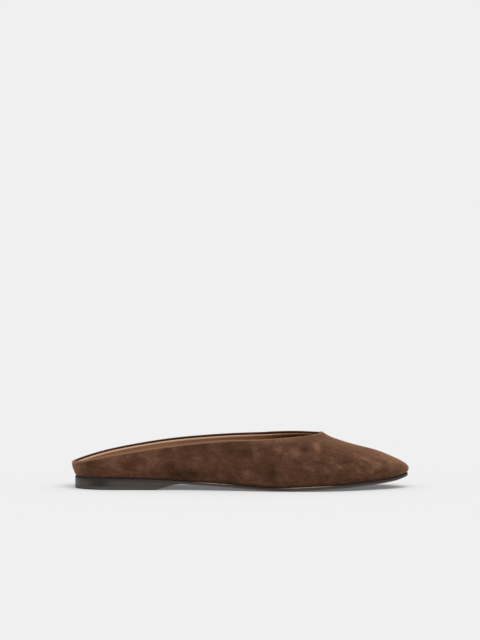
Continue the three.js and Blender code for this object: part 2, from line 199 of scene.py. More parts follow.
floor_mesh = bpy.data.meshes.new("floor")
corners = [(-1, -1), (1, -1), (1, 1), (-1, 1)]
floor_places = [(FLOOR_HALF * x, FLOOR_HALF * y, -FLOOR_GAP) for x, y in corners]
floor_mesh.from_pydata(floor_places, [], [(0, 1, 2, 3)])
floor = bpy.data.objects.new("floor", floor_mesh)
bpy.context.scene.collection.objects.link(floor)
floor_paint = finish(
    "floor_paint", Base_Color=(FLOOR_ALBEDO, FLOOR_ALBEDO, FLOOR_ALBEDO, 1.0), Roughness=0.9,
    Specular_IOR_Level=0.0, Emission_Color=(1.0, 1.0, 1.0, 1.0), Emission_Strength=FLOOR_GLOW)[0]
floor_mesh.materials.append(floor_paint)

world = bpy.data.worlds.new("studio")
bpy.context.scene.world = world
world.use_nodes = True
sky = world.node_tree
seen = sky.nodes.new("ShaderNodeBackground")
seen.inputs["Color"].default_value = (1.0, 1.0, 1.0, 1.0)
seen.inputs["Strength"].default_value = BACKDROP
lighting = sky.nodes["Background"]
lighting.inputs["Color"].default_value = (1.0, 1.0, 1.0, 1.0)
lighting.inputs["Strength"].default_value = AMBIENT
ray = sky.nodes.new("ShaderNodeLightPath")
either = sky.nodes.new("ShaderNodeMixShader")
sky.links.new(ray.outputs["Is Camera Ray"], either.inputs[0])
sky.links.new(lighting.outputs[0], either.inputs[1])
sky.links.new(seen.outputs[0], either.inputs[2])
sky.links.new(either.outputs[0], sky.nodes["World Output"].inputs["Surface"])

overhead = bpy.data.lights.new("overhead", "SUN")
overhead.energy = OVERHEAD
overhead.angle = OVERHEAD_SPREAD
overhead_lamp = bpy.data.objects.new("overhead", overhead)
bpy.context.scene.collection.objects.link(overhead_lamp)
overhead_lamp.rotation_euler = (*OVERHEAD_TILT, 0.0)

# Upper. One piece of brown brushed suede, lasted over the whole last: turned in under the insole at the
# bottom, folded over at the topline and cemented, with the fold's inner edge showing above the lining.
LENGTH = 260.0
BALL_WIDTH = 84.0
HEEL_ROUND = 30.0
TOE_ROUND = 78.0
BACK_TUCK = 3.2
TOE_TUCK = 1.4
SWELL = 3.0
BELLY_HEIGHT = 11.5
CROWN_HEIGHT = 50.0
RIDGE_SHIFT = 5.0
BACK_HEIGHT = 10.5
THROAT_HEIGHT = 36.0
LIP_HEIGHT = 2.8
LIP_HALF_WIDTH = 16.0
LIP_LENGTH = 12.0
WALL = 1.6
SHOULDER = 2.25
HEEL_CLOSING = 2.1
WALL_FLARE = 1.5
TOE_FAN = 0.577
TOPLINE_BLEND = 30.0
HEEL_HEIGHT = 6.7
TOE_SPRING = 9.4
EDGE_LIFT = 0.35
SOLE_THICKNESS = 2.8
CLEARANCE = 0.3

# Tables of the last: at is the share of LENGTH from the heel, and the other rows are shares of a size.
OUTLINE = {
    "at": (0.00, 0.12, 0.25, 0.38, 0.50, 0.60, 0.67, 0.74, 0.80, 0.87, 0.94, 1.00),
    "lateral": (0.315, 0.324, 0.333, 0.369, 0.440, 0.500, 0.519, 0.517, 0.502, 0.460, 0.400, 0.345),
    "medial": (0.315, 0.319, 0.290, 0.262, 0.300, 0.383, 0.445, 0.479, 0.483, 0.455, 0.398, 0.345),
}
BELLY = {
    "at": (0.00, 0.12, 0.38, 0.55, 0.70, 0.85, 1.00),
    "lateral": (1.00, 1.00, 1.20, 1.00, 0.87, 0.60, 0.40),
    "medial": (1.00, 1.07, 2.07, 1.67, 0.93, 0.67, 0.40),
}
SECTION = {
    "at": (0.00, 0.15, 0.30, 0.45, 0.60, 0.68, 0.735, 0.80, 0.85, 0.90, 0.95, 1.00),
    "belly": (0.80, 0.96, 1.00, 1.03, 1.01, 0.95, 0.89, 0.81, 0.73, 0.61, 0.43, 0.20),
    "crown": (1.000, 1.000, 1.000, 0.895, 0.696, 0.584, 0.532, 0.449, 0.404, 0.390, 0.366, 0.335),
    "ridge": (0.0, 0.3, 0.6, 0.8, 1.0, 1.0, 1.0, 0.9, 0.7, 0.5, 0.25, 0.0),
}
TOPLINE = {
    "at": (0.00, 0.07, 0.15, 0.25, 0.35, 0.45, 0.55, 0.62, 0.68, 0.735),
    "lateral": (0.008, 0.190, 0.362, 0.548, 0.739, 0.892, 0.997, 1.042, 1.023, 0.998),
    "medial": (0.008, 0.205, 0.404, 0.610, 0.796, 0.931, 1.053, 1.105, 1.089, 1.022),
}
SOLE = {
    "at": (0.0, 0.1, 0.2, 0.28, 0.36, 0.44, 0.52, 0.58, 0.64, 0.70, 0.78, 0.86, 0.92, 0.965, 1.0),
    "heel": (1.0, 0.967, 0.9, 0.8, 0.617, 0.45, 0.217, 0.05, 0.0, 0.0, 0.0, 0.0, 0.0, 0.0, 0.0),
    "toe": (0.0, 0.0, 0.0, 0.0, 0.0, 0.0, 0.0, 0.0, 0.0, 0.055, 0.176, 0.341, 0.505, 0.703, 1.0),
    "thick": (0.86, 0.86, 0.86, 0.86, 0.82, 0.80, 0.78, 0.78, 0.92, 1.0, 0.94, 0.90, 0.90, 0.90, 0.86),
    "roll": (0.0, 0.0, 0.0, 0.0, 0.0, 0.35, 0.8, 1.0, 1.0, 1.0, 0.9, 0.7, 0.4, 0.2, 0.0),
}


def smooth(at, values):
    """Natural cubic spline through the values, solved for its bends so that the pieces join smoothly."""
    at, values = np.asarray(at, float), np.asarray(values, float)
    last = len(at) - 1
    width = np.diff(at)
    system = np.eye(last + 1)
    turn = np.zeros(last + 1)
    for row in range(1, last):
        system[row, row - 1:row + 2] = width[row - 1], 2 * (width[row - 1] + width[row]), width[row]
        slopes = np.diff(values[row - 1:row + 2]) / width[row - 1:row + 1]
        turn[row] = 6 * (slopes[1] - slopes[0])
    bend = np.linalg.solve(system, turn)

    def curve(where):
        x = np.clip(where, at[0], at[-1])
        i = np.clip(np.searchsorted(at, x) - 1, 0, last - 1)
        a = (at[i + 1] - x) / width[i]
        b = 1 - a
        sag = (a ** 3 - a) * bend[i] + (b ** 3 - b) * bend[i + 1]
        return a * values[i] + b * values[i + 1] + sag * width[i] ** 2 / 6

    return curve


def column(table, name, size):
    return smooth(table["at"], np.array(table[name]) * size)


half_lateral, half_medial = (column(OUTLINE, side, BALL_WIDTH) for side in ("lateral", "medial"))
swell_lateral, swell_medial = (column(BELLY, side, SWELL) for side in ("lateral", "medial"))
collar_rise = THROAT_HEIGHT - BACK_HEIGHT
rise_lateral, rise_medial = (column(TOPLINE, side, collar_rise) for side in ("lateral", "medial"))
belly_rise = column(SECTION, "belly", BELLY_HEIGHT)
crown_rise = column(SECTION, "crown", CROWN_HEIGHT)
ridge_line = column(SECTION, "ridge", RIDGE_SHIFT)
edge_thickness = column(SOLE, "thick", SOLE_THICKNESS)
edge_bottom = smooth(
    SOLE["at"],
    EDGE_LIFT
    + (HEEL_HEIGHT - EDGE_LIFT) * np.array(SOLE["heel"])
    + (TOE_SPRING - EDGE_LIFT) * np.array(SOLE["toe"]),
)


def sole_top(at):
    return edge_bottom(at) + edge_thickness(at)


def feather(at):
    """Height of the line where the upper turns in under the foot."""
    return sole_top(at) + CLEARANCE


def belly(at):
    return feather(at) + belly_rise(at)


def closing(at):
    """How far both ends have closed, from 1 along the shoe to 0 at the tips: a superellipse round the heel
    times an ellipse round the toe."""
    heel = np.clip(1 - at * LENGTH / HEEL_ROUND, 0, 1)
    toe = np.clip((at - 1) * LENGTH / TOE_ROUND + 1, 0, 1)
    return (1 - heel ** HEEL_CLOSING) ** (1 / HEEL_CLOSING) * np.sqrt(1 - toe ** 2)


def crown(at):
    toe = np.clip((at - 1) * LENGTH / TOE_ROUND + 1, 0, 1)
    return crown_rise(at) * np.sqrt(1 - toe ** 2)


def half_width(at, y, bulge):
    """Half width of the last on the side of y: its bottom outline at bulge 0, its widest line at bulge 1."""
    outline = np.where(y < 0, half_lateral(at), half_medial(at))
    swell = np.where(y < 0, swell_lateral(at), swell_medial(at))
    return (outline + bulge * swell) * closing(at)


def is_inside(x, y, z):
    """Whether points lie inside the upper: above the widest line a superellipse with its top on the ridge,
    below it a wall that flares out from the bottom outline."""
    at = np.clip(x / LENGTH, 0, 1)
    widest = belly(at)
    top = ridge_line(at)
    reach = np.maximum(half_width(at, y - top, 1.0) + np.where(y < top, top, -top), 1e-6)
    rise = np.clip(z - widest, 0, None) / np.maximum(crown(at), 1e-6)
    above = (np.abs(y - top) / reach) ** SHOULDER + rise ** 2 < 1
    low = feather(at)
    bulge = 1 - (1 - np.clip((z - low) / (widest - low), 0, 1)) ** WALL_FLARE
    back = BACK_TUCK * (1 - bulge)
    tip = LENGTH - TOE_TUCK * (1 - bulge)
    along = (x - back) / (tip - back)
    flare = (along > 0) & (along < 1) & (np.abs(y) < half_width(np.clip(along, 0, 1), y, bulge))
    return (x > 0) & (x < LENGTH) & np.where(z >= widest, above, flare)


HALVINGS = 24


def search(low, high, holds):
    """Largest values between low and high, array by array, for which the test still holds, by halving."""
    for _ in range(HALVINGS):
        middle = (low + high) / 2
        held = holds(middle)
        low, high = np.where(held, middle, low), np.where(held, high, middle)
    return low


def topline(x, y):
    """Height of the collar's edge, passing from the lateral line to the medial one across the foot."""
    at = np.clip(x / LENGTH, 0, TOPLINE["at"][-1])
    medial = np.clip(y / TOPLINE_BLEND, -1, 1) / 2 + 0.5
    return feather(at) + BACK_HEIGHT + rise_lateral(at) * (1 - medial) + rise_medial(at) * medial


STATIONS = 170
RIB_SAMPLES = 200
MAX_RIB_ANGLE = math.radians(88)

# Ribs run round the shoe, heel to toe along the lateral side and back along the medial one.
stations = (1 - np.cos(np.pi * np.arange(STATIONS + 1) / STATIONS)) / 2
foot_at = np.concatenate([stations, stations[-2:0:-1]])
foot_side = np.where(np.arange(2 * STATIONS) <= STATIONS, -1.0, 1.0)
foot = np.stack([
    BACK_TUCK + (LENGTH - BACK_TUCK - TOE_TUCK) * foot_at,
    foot_side * half_width(foot_at, foot_side, 0.0),
], axis=1)
along_outline = np.roll(foot, -1, 0) - np.roll(foot, 1, 0)
out = np.stack([along_outline[:, 1], -along_outline[:, 0]], axis=1)
out /= np.linalg.norm(out, axis=1)[:, None]
foot_height = feather(foot[:, 0] / LENGTH)

spine_x = np.clip(foot[:, 0], HEEL_ROUND, TOE_FAN * LENGTH)
spine_z = belly(spine_x / LENGTH)
flat = np.stack([foot[:, 0] - spine_x, foot[:, 1]], axis=1)
flat_length = np.linalg.norm(flat, axis=1)
flat /= flat_length[:, None]


def reach_at(angle):
    """Points of the last seen from the spine at an angle above the level, one row of angles for each rib."""
    aim_x, aim_y = (flat[:, axis, None] * np.cos(angle) for axis in (0, 1))
    aim_z = np.sin(angle)

    def point(far):
        return spine_x[:, None] + aim_x * far, aim_y * far, spine_z[:, None] + aim_z * far

    far = search(np.zeros(angle.shape), np.full(angle.shape, LENGTH), lambda value: is_inside(*point(value)))
    return np.stack(point(far), axis=-1)


def below_topline(angle):
    reached = reach_at(angle)
    return reached[..., 2] < topline(reached[..., 0], reached[..., 1])


first_angle = np.arctan2(foot_height - spine_z, flat_length)[:, None]
last_angle = search(first_angle, np.full(first_angle.shape, MAX_RIB_ANGLE), below_topline)
rib_points = reach_at(first_angle + (last_angle - first_angle) * np.linspace(0, 1, RIB_SAMPLES))
rib_points[:, 0] = np.column_stack([foot, foot_height])
rib_steps = np.linalg.norm(np.diff(rib_points, axis=1), axis=2)
rib_walked = np.concatenate([np.zeros((len(foot), 1)), np.cumsum(rib_steps, axis=1)], axis=1)
rib_length = rib_walked[:, -1:]

# Soft troughs and low ridges where the suede was pulled over the last: from, to, half width and depth in mm.
# A positive depth is a trough. Each runs on past its two ends by a share of its length while it fades out.
CREASE_OVERRUN = 0.4
CREASE_HALF_SHARE = 0.55
CREASES = (
    ((176, -27, 36), (186, -36, 22), 3.2, 0.34),
    ((187, -20, 38), (196, -32, 24), 3.4, -0.26),
    ((158, -33, 32), (150, -41, 18), 4.5, 0.20),
    ((178, 28, 36), (188, 37, 22), 3.2, 0.30),
    ((190, 20, 38), (199, 31, 24), 3.4, -0.22),
    ((160, 30, 32), (152, 37, 18), 4.5, 0.20),
    ((224, -26, 9), (229, -21, 18), 2.6, 0.16),
    ((226, 27, 9), (231, 22, 18), 2.6, 0.16),
    ((60, -29, 14), (66, -30, 24), 5.0, 0.16),
    ((66, 28, 14), (72, 27, 26), 5.0, 0.18),
)


def relief(points):
    """Height added to the suede: for each crease a bell across its line, fading out at both ends."""
    height = np.zeros(points.shape[:-1])
    for start, end, width, depth in CREASES:
        start, end = np.array(start, float), np.array(end, float)
        line = end - start
        share = np.clip(((points - start) @ line) / (line @ line), -CREASE_OVERRUN, 1 + CREASE_OVERRUN)
        away = np.linalg.norm(points - start - share[..., None] * line, axis=-1)
        fade = np.exp(-((share - 0.5) / CREASE_HALF_SHARE) ** 4)
        height -= depth * fade * np.exp(-((away / width) ** 2))
    return height


def surface(below):
    """Points of the last at a distance below the topline, along each rib, with the throat's lip turned up."""
    wanted = np.clip(rib_length - below, 0, rib_length)
    before = (rib_walked[:, None, :] <= wanted[:, :, None]).sum(axis=2) - 1
    before = np.clip(before, 0, RIB_SAMPLES - 2)
    low, high = (np.take_along_axis(rib_walked, before + step, axis=1) for step in (0, 1))
    share = ((wanted - low) / (high - low))[..., None]
    row = np.arange(len(foot))[:, None]
    points = rib_points[row, before] * (1 - share) + rib_points[row, before + 1] * share
    fans_to_toe = (foot[:, 0] > spine_x)[:, None]
    across = np.exp(-((points[..., 1] / LIP_HALF_WIDTH) ** 2))
    down = np.clip(1 - below / LIP_LENGTH, 0, 1) ** 2
    points[..., 2] += LIP_HEIGHT * across * down * fans_to_toe
    return points


def normals(points):
    """Unit normals of a grid of ribs: round the shoe crossed with up the wall."""
    around = np.roll(points, -1, 0) - np.roll(points, 1, 0)
    upward = np.gradient(points, axis=1)
    cross = np.cross(around, upward)
    return cross / np.linalg.norm(cross, axis=-1, keepdims=True)


def inside_wall(below, depth):
    """The last's surface moved in by a depth. Its rows run down the wall, so its normals point inwards."""
    points = surface(below)
    return points + normals(points) * depth[..., None]


def ring_of(offset, height):
    """A closed line beside the bottom outline, moved out by an offset, with its height given by x and y."""
    line = foot + out * offset
    return np.column_stack([line, height(line[:, 0], line[:, 1])])


# The tables start at the back of the upper, on the heel's middle line. Points closer than MERGE become one.
sole_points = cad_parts["outsole"].data.vertices
heel_point = min(sole_points, key=lambda vertex: vertex.co.x).co
ORIGIN = np.array([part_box("upper")[0].x / MM, heel_point.y / MM, 0.0])
MERGE = 0.004


def make_piece(name, grid, loops, marks=None):
    """A closed skin through a grid of points in the last's own millimetres. The grid closes round the shoe.
    With loops it also closes the other way. Without it the points of its first and last lines meet in pairs."""
    around, rows = grid.shape[:2]
    number = np.arange(around * rows).reshape(around, rows)
    beside = np.roll(number, -1, 0)
    if loops:
        over, beside_over = np.roll(number, -1, 1), np.roll(beside, -1, 1)
        faces = np.stack([number, beside, beside_over, over], axis=-1)
    else:
        faces = np.stack([number[:, :-1], beside[:, :-1], beside[:, 1:], number[:, 1:]], axis=-1)
    mesh = bpy.data.meshes.new(name)
    places = (grid.reshape(-1, 3) + ORIGIN) * MM
    mesh.from_pydata(places.tolist(), [], faces.reshape(-1, 4).tolist())
    for mark, values in (marks or {}).items():
        layer = mesh.attributes.new(mark, "FLOAT", "POINT")
        layer.data.foreach_set("value", values.reshape(-1).astype(np.float32))
    skin = bmesh.new()
    skin.from_mesh(mesh)
    bmesh.ops.remove_doubles(skin, verts=skin.verts, dist=MERGE * MM)
    bmesh.ops.recalc_face_normals(skin, faces=skin.faces)
    skin.to_mesh(mesh)
    skin.free()
    mesh.shade_smooth()
    piece = bpy.data.objects.new(name, mesh)
    bpy.context.scene.collection.objects.link(piece)
    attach(piece, "root")
    return piece


# Patches where the suede is darker or lighter: x, z, half length, half height in mm, and strength. They are
# partly the nap's own tone and partly painted light and shade: lit areas towards the heel and the toe, a painted
# highlight along the topline and painted shade low on the sides. The medial side has the same kind of patches
# further back.
PATCHES = (
    (15, 20.6, 3.5, 3.0, -0.65), (44, 18.3, 4.0, 3.0, -0.55), (78, 19.5, 3.2, 3.0, -1.0),
    (85, 12.9, 17.0, 3.2, -0.75), (95, 15.2, 5.0, 3.0, -0.55), (135, 29.2, 4.5, 4.5, -1.0),
    (155, 15.2, 4.0, 5.0, -0.65), (179, 32.3, 3.0, 3.0, -0.9), (213, 22.7, 6.5, 2.0, -1.0),
    (102, 28.4, 2.0, 4.5, -0.35), (142, 12.5, 6.0, 3.0, -0.25), (197, 29.0, 5.0, 2.5, -0.2),
    (239, 15.5, 3.0, 2.5, -0.2), (220, 8.6, 16.0, 2.4, -0.5), (228, 19.8, 5.0, 2.6, -0.1),
    (7, 17.0, 5.0, 3.5, 0.6), (52, 27.0, 15.0, 2.5, 0.4), (58, 17.5, 5.0, 2.5, 0.2),
    (195, 24.0, 6.0, 4.0, 0.1), (160, 33.8, 3.0, 5.0, 0.7), (171, 29.5, 4.5, 3.5, 0.8),
    (189, 33.0, 2.8, 4.5, 1.3), (232, 24.5, 12.0, 2.2, 0.4), (175, 13.0, 6.0, 3.0, 0.2),
    (246, 22.0, 17.0, 7.0, 1.0),
    (58, 22.0, 44.0, 11.0, 0.35), (208, 25.0, 26.0, 6.0, 0.45), (158, 39.0, 17.0, 2.6, 0.8),
)
MEDIAL_SHIFT = -21.0


def nap_tone_and_light_of(points):
    """Nap tone and painted light and shade: for each patch a bell over its ellipse, seen from the side."""
    shade = np.zeros(points.shape[:-1])
    along = points[..., 0] - np.where(points[..., 1] > 0, MEDIAL_SHIFT, 0.0)
    for x, z, length, height, strength in PATCHES:
        shade += strength * np.exp(-((along - x) / length) ** 2 - ((points[..., 2] - z) / height) ** 2)
    return shade


SUEDE = 1.0
FOLDED = 1.5
FOLD_SHOWS = 1.1
FOLD_END = 2.2
FOLD_TAPER = 2.0
FEATHER_RADIUS = 1.0
LASTING_MARGIN = 7.0
CREASE_MARGIN = 3.0
WALL_LEVELS = 84
INNER_LEVELS = 26
EDGE_STEPS = 8
LEVEL_CROWDING = 1.15
INNER_CROWDING = 1.6


def fold_depth(below):
    """Thickness of the suede down from the topline: doubled over the fold, then tapering to one layer."""
    share = np.clip((below - FOLD_END) / FOLD_TAPER, 0, 1)
    return FOLDED + (SUEDE - FOLDED) * share * share * (3 - 2 * share)


edge_radius = FOLDED / 2
climb = np.linspace(0, 1, WALL_LEVELS) ** LEVEL_CROWDING
outer_below = rib_length - FEATHER_RADIUS - (rib_length - FEATHER_RADIUS - edge_radius) * climb
outer = surface(outer_below)
outer_normals = normals(outer)
outer_above = rib_length - outer_below
outer_fade = np.clip(outer_below / CREASE_MARGIN, 0, 1) * np.clip(outer_above / CREASE_MARGIN, 0, 1)
outer = outer + outer_normals * (relief(outer) * outer_fade)[..., None]

corner = ring_of(0.0, lambda x, y: feather(x / LENGTH))
inward = np.column_stack([-out, np.zeros(len(out))]) * FEATHER_RADIUS
turn = np.linspace(0, 1, EDGE_STEPS, endpoint=False)[None, :, None]
feather_turn = (
    (1 - turn) ** 2 * (corner + inward)[:, None]
    + 2 * turn * (1 - turn) * corner[:, None]
    + turn ** 2 * outer[:, :1]
)

angles = np.linspace(0, np.pi, EDGE_STEPS + 3)[1:-1][None, :, None]
upward = outer[:, -1] - outer[:, -2]
upward /= np.linalg.norm(upward, axis=1)[:, None]
edge_middle = outer[:, -1] - outer_normals[:, -1] * edge_radius
edge_roll = edge_middle[:, None] + edge_radius * (
    outer_normals[:, -1][:, None] * np.cos(angles) + upward[:, None] * np.sin(angles)
)

descend = np.linspace(0, 1, INNER_LEVELS) ** INNER_CROWDING
inner_below = edge_radius + (rib_length - edge_radius - WALL) * descend
inner = inside_wall(inner_below, fold_depth(inner_below))
inner[..., 2] = np.maximum(inner[..., 2], foot_height[:, None] + SUEDE)
margin_top = ring_of(-LASTING_MARGIN, lambda x, y: feather(x / LENGTH) + SUEDE)
margin_end = ring_of(-LASTING_MARGIN, lambda x, y: feather(x / LENGTH))

upper_grid = np.concatenate(
    [margin_end[:, None], feather_turn, outer, edge_roll, inner, margin_top[:, None]], axis=1)

# Marks on the suede: a painted highlight over the fold, on nap that lies paler there, and painted shade where it
# turns in at the bottom, partly a dark stain along the junction, and inside the collar.
HIGHLIGHT_WIDTH = 0.7
HIGHLIGHT_FALL = 1.6
SHADE_WIDTH = 1.6
SHADE_INSIDE = 0.75
over_roll = np.tile(np.linspace(0, 1, EDGE_STEPS + 1), (len(foot), 1))
brushed = np.concatenate([
    np.zeros((len(foot), 1 + EDGE_STEPS)),
    np.exp(-((outer_below - edge_radius) / HIGHLIGHT_WIDTH) ** 2),
    np.clip(1 - HIGHLIGHT_FALL * over_roll, 0, 1),
    np.zeros((len(foot), INNER_LEVELS + 1)),
], axis=1)
lowered = np.concatenate([
    np.ones((len(foot), 1 + EDGE_STEPS)),
    np.exp(-(outer_above / SHADE_WIDTH) ** 2),
    SHADE_INSIDE * over_roll * over_roll,
    np.full((len(foot), INNER_LEVELS + 1), SHADE_INSIDE),
], axis=1)
nap_shade = nap_tone_and_light_of(upper_grid)
upper = make_piece(
    "upper_suede", upper_grid, True, {"brushed": brushed, "lowered": lowered, "nap_shade": nap_shade})
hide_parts("upper")

# The nap: clouds, patches, strokes of the brush that run down the vamp, and the fibres. Sizes are in mm.
VAMP_FROM = 55.0
VAMP_BLEND = 12.0
suede, spot = finish(
    "brown_suede", Roughness=0.95, Specular_IOR_Level=0.12, Sheen_Weight=1.0, Sheen_Roughness=0.35,
    Sheen_Tint=srgb(222, 164, 124))
cloud = spot.noise(15.0, 3.0, 0.6, 0.4)
patch = spot.noise(5.5, 3.0, 0.6, 0.8)
stroke = spot.stretched(0.35, 1.0, 1.0).noise(3.2, 3.0, 0.65, 0.5)
part_x, part_y, part_z = (spot.coordinate(axis) for axis in range(3))
leaning = {0: part_x * 0.16, 1: part_y * 0.8, 2: part_z + part_x * 0.3}
brush_line = spot.node("ShaderNodeCombineXYZ", {}, leaning).noise(1.9, 3.0, 0.6, 0.3)
on_vamp = ((part_x - VAMP_FROM) / VAMP_BLEND).clamped()
nap = spot.noise(0.75, 3.0, 0.7)
fibre = spot.noise(0.28, 2.0, 0.8)
tone = (cloud - 0.5) * 0.65 + (patch - 0.5) * 0.35 + (stroke - 0.5) * 0.5 + (nap - 0.5) * 0.5 + 0.5
tone = tone + (brush_line - 0.5) * on_vamp * 0.6
# The patches: the nap's own tone and painted light and shade.
tone = tone + (fibre - 0.5) * 0.35 + tone.mark("nap_shade") * 0.26
brown = tone.ramp(
    (0.18, srgb(47, 28, 15)),
    (0.45, srgb(73, 47, 32)),
    (0.62, srgb(88, 59, 43)),
    (0.88, srgb(120, 85, 65)),
)
# Painted highlight along the fold, partly paler nap.
brown = (tone.mark("brushed") * 0.7).blend(brown, srgb(150, 112, 88))
# Painted shade along the junction with the sole, partly a dark stain, and inside the collar.
brown = (tone.mark("lowered") * 0.65).blend(brown, srgb(34, 21, 14))
pile = nap * 0.6 + fibre * 0.4 + patch * 0.5
dress(suede, Base_Color=brown, Bump=(pile, 0.35 * MM))
upper.data.materials.append(suede)

# Lining. Thin smooth tan leather inside the suede, trimmed just under the folded edge and cemented down, so
# its cut edge stands a little proud all round the collar. Its lower edge is caught under the insole.
LINING = 0.55
LINING_EDGE = 0.35
LINING_THICKENS = 2.0
LINING_LEVELS = 46
LINING_CROWDING = 1.5
TINY = 0.03
CUT_SHOWS = 1.25
CUT_SOFTNESS = 0.12
UNDER_VAMP_FROM = 150.0
UNDER_VAMP_SOFTNESS = 8.0
SHADED_FROM = 1.0
SHADED_BLEND = 2.0


def lining_depth(below):
    """Depth of the lining's face: the suede's thickness plus its own, which is pared down at the cut edge."""
    share = np.clip((below - FOLD_SHOWS) / LINING_THICKENS, 0, 1)
    return fold_depth(below) + TINY + LINING_EDGE + (LINING - LINING_EDGE) * share


face_below = FOLD_SHOWS + edge_radius + (rib_length - FOLD_SHOWS - edge_radius - 2 * WALL) * (
    np.linspace(0, 1, LINING_LEVELS) ** LINING_CROWDING)
face = inside_wall(face_below, lining_depth(face_below))
back_below = face_below[:, ::3]
back = inside_wall(back_below, fold_depth(back_below) + TINY)
lining_floor = foot_height[:, None] + SUEDE + 2 * TINY
face[..., 2] = np.maximum(face[..., 2], lining_floor)
back[..., 2] = np.maximum(back[..., 2], lining_floor)
face_up = face[:, 0] - face[:, 1]
face_up /= np.linalg.norm(face_up, axis=1)[:, None]
cut_middle = (face[:, 0] + back[:, 0]) / 2 + face_up * LINING_EDGE / 2
lining_grid = np.concatenate([back[:, ::-1], cut_middle[:, None], face], axis=1)
face_walked = face_below - face_below[:, :1]
# Pale raw cut edge with a painted highlight on it, fading out down the face.
cut_edge = np.concatenate([
    np.zeros(back.shape[:2]),
    np.ones((len(foot), 1)),
    1 / (1 + np.exp((face_walked - CUT_SHOWS) / CUT_SOFTNESS)),
], axis=1)
# Painted shade on the lining under the vamp, towards the toe, where the vamp hides it from the light.
vamp_side = 1 / (1 + np.exp((UNDER_VAMP_FROM - lining_grid[..., 0]) / UNDER_VAMP_SOFTNESS))
walked = np.concatenate([np.zeros((len(foot), back.shape[1] + 1)), face_walked], axis=1)
under_vamp = vamp_side * np.clip((walked - SHADED_FROM) / SHADED_BLEND, 0, 1)
lining = make_piece("lining", lining_grid, True, {"cut_edge": cut_edge, "under_vamp": under_vamp})

lining_leather, spot = finish("tan_lining_leather", Specular_IOR_Level=0.4)
worn = spot.noise(22.0, 3.0, 0.55)
grain = spot.noise(0.9, 3.0, 0.6)
pores = spot.cells(1.4)
tan = (worn * 0.7 + grain * 0.3).ramp(
    (0.25, srgb(128, 91, 64)),
    (0.55, srgb(149, 110, 80)),
    (0.80, srgb(167, 128, 95)),
)
# Painted shade under the vamp.
tan = (spot.mark("under_vamp") * 0.7).blend(tan, srgb(84, 52, 32))
# The cut edge: paler raw leather with a painted highlight.
tan = spot.mark("cut_edge").blend(tan, srgb(222, 186, 160))
dress(
    lining_leather, Base_Color=tan, Roughness=0.42 + grain * 0.25,
    Bump=(grain * 0.6 + pores.clamped() * 0.8, 0.06 * MM))
lining.data.materials.append(lining_leather)

# Insole. A board covered by a sock of the same tan leather, slightly cupped under the heel, its edge pressed
# against the lining all round.
INSOLE_THICKNESS = 2.5
INSOLE_GAP = 0.04
SOCK_RADIUS = 0.5
SOCK_EDGE = ((1.0, 0.0), (0.3, 0.25), (0.0, 1.0))  # shares of the radius: down from the top, in from the wall
HEEL_CUP = 0.45
HEEL_CUP_END = 0.4
BANDS = 22
HIDDEN_BANDS = 6
BAND_CROWDING = 1.5


def bands_to_axis(ring, height, bands):
    """Lines from a ring in to the shoe's axis, where both sides meet. Each point moves straight across."""
    share = (np.arange(1, bands + 1) / bands) ** BAND_CROWDING
    end = np.column_stack([foot[:, 0], np.zeros(len(foot))])
    level = ring[:, None, :2] * (1 - share)[None, :, None] + end[:, None] * share[None, :, None]
    heights = height(level[..., 0], level[..., 1])
    return np.concatenate([level, heights[..., None]], axis=2)


def insole_top(x, y):
    """Top of the sock: feather line, margin and board, plus the cup, which is the way out to its third power."""
    at = np.clip(x / LENGTH, 0, 1)
    across = np.clip(np.abs(y) / np.maximum(half_width(at, y, 0.0), 1.0), 0, 1)
    cup = HEEL_CUP * across ** 3 * np.clip(1 - at / HEEL_CUP_END, 0, 1)
    return feather(at) + WALL + CLEARANCE + INSOLE_THICKNESS + cup


def beside_lining(height, gap):
    """The point of each rib's lining face at a height, moved in by a gap."""
    rising = face[:, ::-1]
    after = np.clip((rising[..., 2] < height[:, None]).sum(axis=1), 1, LINING_LEVELS - 1)
    row = np.arange(len(foot))
    low, high = rising[row, after - 1], rising[row, after]
    share = np.clip((height - low[:, 2]) / (high[:, 2] - low[:, 2]), 0, 1)[:, None]
    point = low * (1 - share) + high * share
    point[:, :2] -= out * gap
    point[:, 2] = height
    return point


board_low = foot_height + WALL + CLEARANCE
sock_top = insole_top(foot[:, 0], foot[:, 1])
edge_lines = [beside_lining(board_low, INSOLE_GAP)]
for down, set_in in SOCK_EDGE:
    edge_lines.append(beside_lining(sock_top - SOCK_RADIUS * down, INSOLE_GAP + SOCK_RADIUS * set_in))
sock_bands = bands_to_axis(edge_lines[-1], insole_top, BANDS)
board_bands = bands_to_axis(edge_lines[0], lambda x, y: feather(x / LENGTH) + WALL + CLEARANCE, HIDDEN_BANDS)
insole_grid = np.concatenate([board_bands[:, ::-1], np.stack(edge_lines, axis=1), sock_bands], axis=1)
insole = make_piece("insole_sock", insole_grid, False)
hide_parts("insole")

sock_leather, spot = finish("tan_sock_leather", Specular_IOR_Level=0.35)
worn = spot.noise(30.0, 3.0, 0.5)
grain = spot.noise(1.0, 3.0, 0.6)
pores = spot.cells(1.2)
tan = (worn * 0.75 + grain * 0.25).ramp(
    (0.25, srgb(148, 109, 80)),
    (0.75, srgb(180, 137, 103)),
)
dress(
    sock_leather, Base_Color=tan, Roughness=0.45 + grain * 0.25,
    Bump=(grain * 0.6 + pores.clamped() * 0.8, 0.07 * MM))
insole.data.materials.append(sock_leather)

# Outsole. One sheet of firm leather cut to the outline, its edge dyed dark and burnished to a low gloss. It
# stands out a hair from the upper, so its top edge shows as a thin ledge. The underside is plain and smooth.
SOLE_LEDGE = 0.6
BOTTOM_ROLL = 1.4
SQUARE_END = 78.0
SQUARE_SOFTNESS = 3.0
SQUARE_FROM = 0.4
HEEL_INK = 0.45

